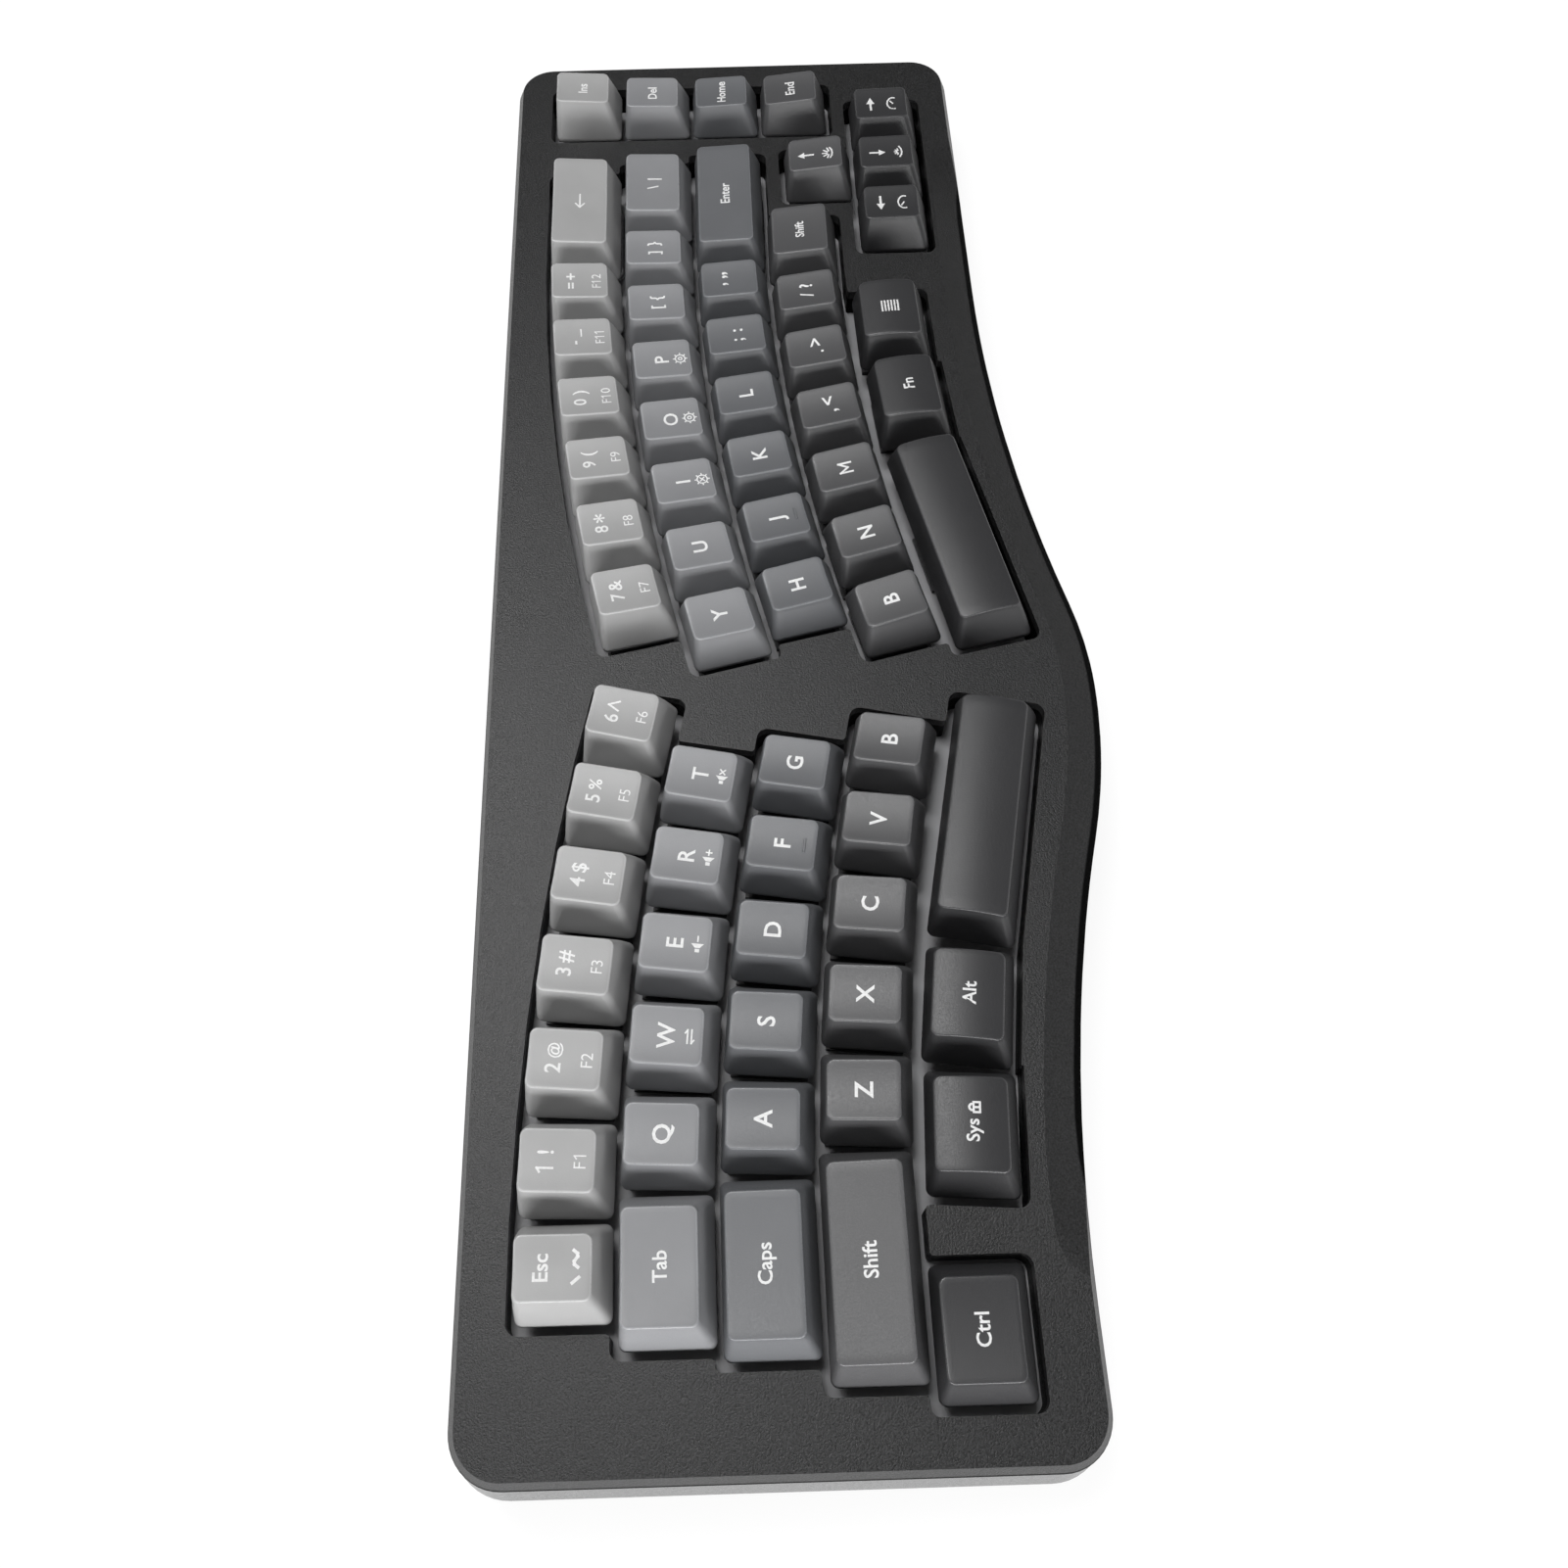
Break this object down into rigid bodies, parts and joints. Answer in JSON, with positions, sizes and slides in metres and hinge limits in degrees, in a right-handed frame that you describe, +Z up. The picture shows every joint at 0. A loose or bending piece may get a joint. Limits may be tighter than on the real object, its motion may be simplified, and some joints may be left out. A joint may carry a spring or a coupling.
{
  "type": "ergonomic keyboard",
  "caption": "Keyboard with two curved fans of spring-loaded keys turned towards each other, in a wedge-shaped black case with a bulging front edge.",
  "frame": {"origin": "middle of the bounding box, on the desk under the rubber feet", "axes": "+X to the typist's right, +Y away from the typist, +Z up from the desk"},
  "size_m": [0.3716, 0.1407, 0.0416],
  "materials": {
    "case_black": "fine grain",
    "case_grey": "smooth satin",
    "plate_grey": "satin",
    "board_green": "satin",
    "steel": "plain",
    "rubber": "matte",
    "housing_grey": "satin",
    "caps_silver": "matte",
    "caps_light_grey": "matte",
    "caps_mid_grey": "matte",
    "caps_dark_grey": "matte",
    "caps_charcoal": "matte"
  },
  "bodies": {
    "case": {"bottom_case": "case_grey", "case_screws": "steel", "circuit_board": "board_green", "rubber_feet": "rubber", "stabiliser_housings": "housing_grey", "stabiliser_wires": "steel", "switch_housings": "housing_grey", "switch_plate": "plate_grey", "switch_springs": "steel", "top_case": "case_black", "usb_socket": "steel"},
    "digit_keys_left": {"digit_keys_left": "caps_silver"},
    "digit_keys_right": {"digit_keys_right": "caps_silver"},
    "key_a": {"key_a": "caps_mid_grey"},
    "key_alt": {"key_alt": "caps_charcoal"},
    "key_backspace": {"key_backspace": "caps_silver"},
    "key_c": {"key_c": "caps_dark_grey"},
    "key_caps_lock": {"key_caps_lock": "caps_mid_grey"},
    "key_control": {"key_control": "caps_charcoal"},
    "key_d": {"key_d": "caps_mid_grey"},
    "key_down_arrow": {"key_down_arrow": "caps_charcoal"},
    "key_e": {"key_e": "caps_light_grey"},
    "key_enter": {"key_enter": "caps_mid_grey"},
    "key_escape": {"key_escape": "caps_silver"},
    "key_f": {"key_f": "caps_mid_grey"},
    "key_function": {"key_function": "caps_charcoal"},
    "key_g": {"key_g": "caps_mid_grey"},
    "key_h": {"key_h": "caps_mid_grey"},
    "key_i": {"key_i": "caps_light_grey"},
    "key_j": {"key_j": "caps_mid_grey"},
    "key_k": {"key_k": "caps_mid_grey"},
    "key_l": {"key_l": "caps_mid_grey"},
    "key_left_arrow": {"key_left_arrow": "caps_charcoal"},
    "key_left_b": {"key_left_b": "caps_dark_grey"},
    "key_left_shift": {"key_left_shift": "caps_dark_grey"},
    "key_left_space": {"key_left_space": "caps_charcoal"},
    "key_m": {"key_m": "caps_dark_grey"},
    "key_menu": {"key_menu": "caps_charcoal"},
    "key_n": {"key_n": "caps_dark_grey"},
    "key_o": {"key_o": "caps_light_grey"},
    "key_p": {"key_p": "caps_light_grey"},
    "key_q": {"key_q": "caps_light_grey"},
    "key_r": {"key_r": "caps_light_grey"},
    "key_right_arrow": {"key_right_arrow": "caps_charcoal"},
    "key_right_b": {"key_right_b": "caps_dark_grey"},
    "key_right_shift": {"key_right_shift": "caps_dark_grey"},
    "key_right_space": {"key_right_space": "caps_charcoal"},
    "key_s": {"key_s": "caps_mid_grey"},
    "key_super": {"key_super": "caps_charcoal"},
    "key_t": {"key_t": "caps_light_grey"},
    "key_tab": {"key_tab": "caps_light_grey"},
    "key_u": {"key_u": "caps_light_grey"},
    "key_up_arrow": {"key_up_arrow": "caps_dark_grey"},
    "key_v": {"key_v": "caps_dark_grey"},
    "key_w": {"key_w": "caps_light_grey"},
    "key_x": {"key_x": "caps_dark_grey"},
    "key_y": {"key_y": "caps_light_grey"},
    "key_z": {"key_z": "caps_dark_grey"},
    "navigation_keys": {"navigation_keys": "caps_light_grey"},
    "punctuation_keys": {"punctuation_keys": "caps_light_grey"}
  },
  "joints": [
    {"name": "press_digit_keys_left", "type": "slide", "parent": "case", "child": "digit_keys_left", "axis": [0, -0.0872, 0.9962], "range_m": [-0.004, 0], "stiffness_N_per_m": 420, "springref_m": 0.005, "deforming": ["switch_springs"]},
    {"name": "press_digit_keys_right", "type": "slide", "parent": "case", "child": "digit_keys_right", "axis": [0, -0.0872, 0.9962], "range_m": [-0.004, 0], "stiffness_N_per_m": 420, "springref_m": 0.005, "deforming": ["switch_springs"]},
    {"name": "press_a", "type": "slide", "parent": "case", "child": "key_a", "axis": [0, -0.0872, 0.9962], "range_m": [-0.004, 0], "stiffness_N_per_m": 70, "springref_m": 0.005, "deforming": ["switch_springs"]},
    {"name": "press_alt", "type": "slide", "parent": "case", "child": "key_alt", "axis": [0, -0.0872, 0.9962], "range_m": [-0.004, 0], "stiffness_N_per_m": 70, "springref_m": 0.005, "deforming": ["switch_springs"]},
    {"name": "press_backspace", "type": "slide", "parent": "case", "child": "key_backspace", "axis": [0, -0.0872, 0.9962], "range_m": [-0.004, 0], "stiffness_N_per_m": 70, "springref_m": 0.005, "deforming": ["switch_springs"]},
    {"name": "press_c", "type": "slide", "parent": "case", "child": "key_c", "axis": [0, -0.0872, 0.9962], "range_m": [-0.004, 0], "stiffness_N_per_m": 70, "springref_m": 0.005, "deforming": ["switch_springs"]},
    {"name": "press_caps_lock", "type": "slide", "parent": "case", "child": "key_caps_lock", "axis": [0, -0.0872, 0.9962], "range_m": [-0.004, 0], "stiffness_N_per_m": 70, "springref_m": 0.005, "deforming": ["switch_springs"]},
    {"name": "press_control", "type": "slide", "parent": "case", "child": "key_control", "axis": [0, -0.0872, 0.9962], "range_m": [-0.004, 0], "stiffness_N_per_m": 70, "springref_m": 0.005, "deforming": ["switch_springs"]},
    {"name": "press_d", "type": "slide", "parent": "case", "child": "key_d", "axis": [0, -0.0872, 0.9962], "range_m": [-0.004, 0], "stiffness_N_per_m": 70, "springref_m": 0.005, "deforming": ["switch_springs"]},
    {"name": "press_down_arrow", "type": "slide", "parent": "case", "child": "key_down_arrow", "axis": [0, -0.0872, 0.9962], "range_m": [-0.004, 0], "stiffness_N_per_m": 70, "springref_m": 0.005, "deforming": ["switch_springs"]},
    {"name": "press_e", "type": "slide", "parent": "case", "child": "key_e", "axis": [0, -0.0872, 0.9962], "range_m": [-0.004, 0], "stiffness_N_per_m": 70, "springref_m": 0.005, "deforming": ["switch_springs"]},
    {"name": "press_enter", "type": "slide", "parent": "case", "child": "key_enter", "axis": [0, -0.0872, 0.9962], "range_m": [-0.004, 0], "stiffness_N_per_m": 70, "springref_m": 0.005, "deforming": ["switch_springs"]},
    {"name": "press_escape", "type": "slide", "parent": "case", "child": "key_escape", "axis": [0, -0.0872, 0.9962], "range_m": [-0.004, 0], "stiffness_N_per_m": 70, "springref_m": 0.005, "deforming": ["switch_springs"]},
    {"name": "press_f", "type": "slide", "parent": "case", "child": "key_f", "axis": [0, -0.0872, 0.9962], "range_m": [-0.004, 0], "stiffness_N_per_m": 70, "springref_m": 0.005, "deforming": ["switch_springs"]},
    {"name": "press_function", "type": "slide", "parent": "case", "child": "key_function", "axis": [0, -0.0872, 0.9962], "range_m": [-0.004, 0], "stiffness_N_per_m": 70, "springref_m": 0.005, "deforming": ["switch_springs"]},
    {"name": "press_g", "type": "slide", "parent": "case", "child": "key_g", "axis": [0, -0.0872, 0.9962], "range_m": [-0.004, 0], "stiffness_N_per_m": 70, "springref_m": 0.005, "deforming": ["switch_springs"]},
    {"name": "press_h", "type": "slide", "parent": "case", "child": "key_h", "axis": [0, -0.0872, 0.9962], "range_m": [-0.004, 0], "stiffness_N_per_m": 70, "springref_m": 0.005, "deforming": ["switch_springs"]},
    {"name": "press_i", "type": "slide", "parent": "case", "child": "key_i", "axis": [0, -0.0872, 0.9962], "range_m": [-0.004, 0], "stiffness_N_per_m": 70, "springref_m": 0.005, "deforming": ["switch_springs"]},
    {"name": "press_j", "type": "slide", "parent": "case", "child": "key_j", "axis": [0, -0.0872, 0.9962], "range_m": [-0.004, 0], "stiffness_N_per_m": 70, "springref_m": 0.005, "deforming": ["switch_springs"]},
    {"name": "press_k", "type": "slide", "parent": "case", "child": "key_k", "axis": [0, -0.0872, 0.9962], "range_m": [-0.004, 0], "stiffness_N_per_m": 70, "springref_m": 0.005, "deforming": ["switch_springs"]},
    {"name": "press_l", "type": "slide", "parent": "case", "child": "key_l", "axis": [0, -0.0872, 0.9962], "range_m": [-0.004, 0], "stiffness_N_per_m": 70, "springref_m": 0.005, "deforming": ["switch_springs"]},
    {"name": "press_left_arrow", "type": "slide", "parent": "case", "child": "key_left_arrow", "axis": [0, -0.0872, 0.9962], "range_m": [-0.004, 0], "stiffness_N_per_m": 70, "springref_m": 0.005, "deforming": ["switch_springs"]},
    {"name": "press_left_b", "type": "slide", "parent": "case", "child": "key_left_b", "axis": [0, -0.0872, 0.9962], "range_m": [-0.004, 0], "stiffness_N_per_m": 70, "springref_m": 0.005, "deforming": ["switch_springs"]},
    {"name": "press_left_shift", "type": "slide", "parent": "case", "child": "key_left_shift", "axis": [0, -0.0872, 0.9962], "range_m": [-0.004, 0], "stiffness_N_per_m": 70, "springref_m": 0.005, "deforming": ["switch_springs"]},
    {"name": "press_left_space", "type": "slide", "parent": "case", "child": "key_left_space", "axis": [0, -0.0872, 0.9962], "range_m": [-0.004, 0], "stiffness_N_per_m": 70, "springref_m": 0.005, "deforming": ["switch_springs"]},
    {"name": "press_m", "type": "slide", "parent": "case", "child": "key_m", "axis": [0, -0.0872, 0.9962], "range_m": [-0.004, 0], "stiffness_N_per_m": 70, "springref_m": 0.005, "deforming": ["switch_springs"]},
    {"name": "press_menu", "type": "slide", "parent": "case", "child": "key_menu", "axis": [0, -0.0872, 0.9962], "range_m": [-0.004, 0], "stiffness_N_per_m": 70, "springref_m": 0.005, "deforming": ["switch_springs"]},
    {"name": "press_n", "type": "slide", "parent": "case", "child": "key_n", "axis": [0, -0.0872, 0.9962], "range_m": [-0.004, 0], "stiffness_N_per_m": 70, "springref_m": 0.005, "deforming": ["switch_springs"]},
    {"name": "press_o", "type": "slide", "parent": "case", "child": "key_o", "axis": [0, -0.0872, 0.9962], "range_m": [-0.004, 0], "stiffness_N_per_m": 70, "springref_m": 0.005, "deforming": ["switch_springs"]},
    {"name": "press_p", "type": "slide", "parent": "case", "child": "key_p", "axis": [0, -0.0872, 0.9962], "range_m": [-0.004, 0], "stiffness_N_per_m": 70, "springref_m": 0.005, "deforming": ["switch_springs"]},
    {"name": "press_q", "type": "slide", "parent": "case", "child": "key_q", "axis": [0, -0.0872, 0.9962], "range_m": [-0.004, 0], "stiffness_N_per_m": 70, "springref_m": 0.005, "deforming": ["switch_springs"]},
    {"name": "press_r", "type": "slide", "parent": "case", "child": "key_r", "axis": [0, -0.0872, 0.9962], "range_m": [-0.004, 0], "stiffness_N_per_m": 70, "springref_m": 0.005, "deforming": ["switch_springs"]},
    {"name": "press_right_arrow", "type": "slide", "parent": "case", "child": "key_right_arrow", "axis": [0, -0.0872, 0.9962], "range_m": [-0.004, 0], "stiffness_N_per_m": 70, "springref_m": 0.005, "deforming": ["switch_springs"]},
    {"name": "press_right_b", "type": "slide", "parent": "case", "child": "key_right_b", "axis": [0, -0.0872, 0.9962], "range_m": [-0.004, 0], "stiffness_N_per_m": 70, "springref_m": 0.005, "deforming": ["switch_springs"]},
    {"name": "press_right_shift", "type": "slide", "parent": "case", "child": "key_right_shift", "axis": [0, -0.0872, 0.9962], "range_m": [-0.004, 0], "stiffness_N_per_m": 70, "springref_m": 0.005, "deforming": ["switch_springs"]},
    {"name": "press_right_space", "type": "slide", "parent": "case", "child": "key_right_space", "axis": [0, -0.0872, 0.9962], "range_m": [-0.004, 0], "stiffness_N_per_m": 70, "springref_m": 0.005, "deforming": ["switch_springs"]},
    {"name": "press_s", "type": "slide", "parent": "case", "child": "key_s", "axis": [0, -0.0872, 0.9962], "range_m": [-0.004, 0], "stiffness_N_per_m": 70, "springref_m": 0.005, "deforming": ["switch_springs"]},
    {"name": "press_super", "type": "slide", "parent": "case", "child": "key_super", "axis": [0, -0.0872, 0.9962], "range_m": [-0.004, 0], "stiffness_N_per_m": 70, "springref_m": 0.005, "deforming": ["switch_springs"]},
    {"name": "press_t", "type": "slide", "parent": "case", "child": "key_t", "axis": [0, -0.0872, 0.9962], "range_m": [-0.004, 0], "stiffness_N_per_m": 70, "springref_m": 0.005, "deforming": ["switch_springs"]},
    {"name": "press_tab", "type": "slide", "parent": "case", "child": "key_tab", "axis": [0, -0.0872, 0.9962], "range_m": [-0.004, 0], "stiffness_N_per_m": 70, "springref_m": 0.005, "deforming": ["switch_springs"]},
    {"name": "press_u", "type": "slide", "parent": "case", "child": "key_u", "axis": [0, -0.0872, 0.9962], "range_m": [-0.004, 0], "stiffness_N_per_m": 70, "springref_m": 0.005, "deforming": ["switch_springs"]},
    {"name": "press_up_arrow", "type": "slide", "parent": "case", "child": "key_up_arrow", "axis": [0, -0.0872, 0.9962], "range_m": [-0.004, 0], "stiffness_N_per_m": 70, "springref_m": 0.005, "deforming": ["switch_springs"]},
    {"name": "press_v", "type": "slide", "parent": "case", "child": "key_v", "axis": [0, -0.0872, 0.9962], "range_m": [-0.004, 0], "stiffness_N_per_m": 70, "springref_m": 0.005, "deforming": ["switch_springs"]},
    {"name": "press_w", "type": "slide", "parent": "case", "child": "key_w", "axis": [0, -0.0872, 0.9962], "range_m": [-0.004, 0], "stiffness_N_per_m": 70, "springref_m": 0.005, "deforming": ["switch_springs"]},
    {"name": "press_x", "type": "slide", "parent": "case", "child": "key_x", "axis": [0, -0.0872, 0.9962], "range_m": [-0.004, 0], "stiffness_N_per_m": 70, "springref_m": 0.005, "deforming": ["switch_springs"]},
    {"name": "press_y", "type": "slide", "parent": "case", "child": "key_y", "axis": [0, -0.0872, 0.9962], "range_m": [-0.004, 0], "stiffness_N_per_m": 70, "springref_m": 0.005, "deforming": ["switch_springs"]},
    {"name": "press_z", "type": "slide", "parent": "case", "child": "key_z", "axis": [0, -0.0872, 0.9962], "range_m": [-0.004, 0], "stiffness_N_per_m": 70, "springref_m": 0.005, "deforming": ["switch_springs"]},
    {"name": "press_navigation_keys", "type": "slide", "parent": "case", "child": "navigation_keys", "axis": [0, -0.0872, 0.9962], "range_m": [-0.004, 0], "stiffness_N_per_m": 280, "springref_m": 0.005, "deforming": ["switch_springs"]},
    {"name": "press_punctuation_keys", "type": "slide", "parent": "case", "child": "punctuation_keys", "axis": [0, -0.0872, 0.9962], "range_m": [-0.004, 0], "stiffness_N_per_m": 560, "springref_m": 0.005, "deforming": ["switch_springs"]}
  ]
}
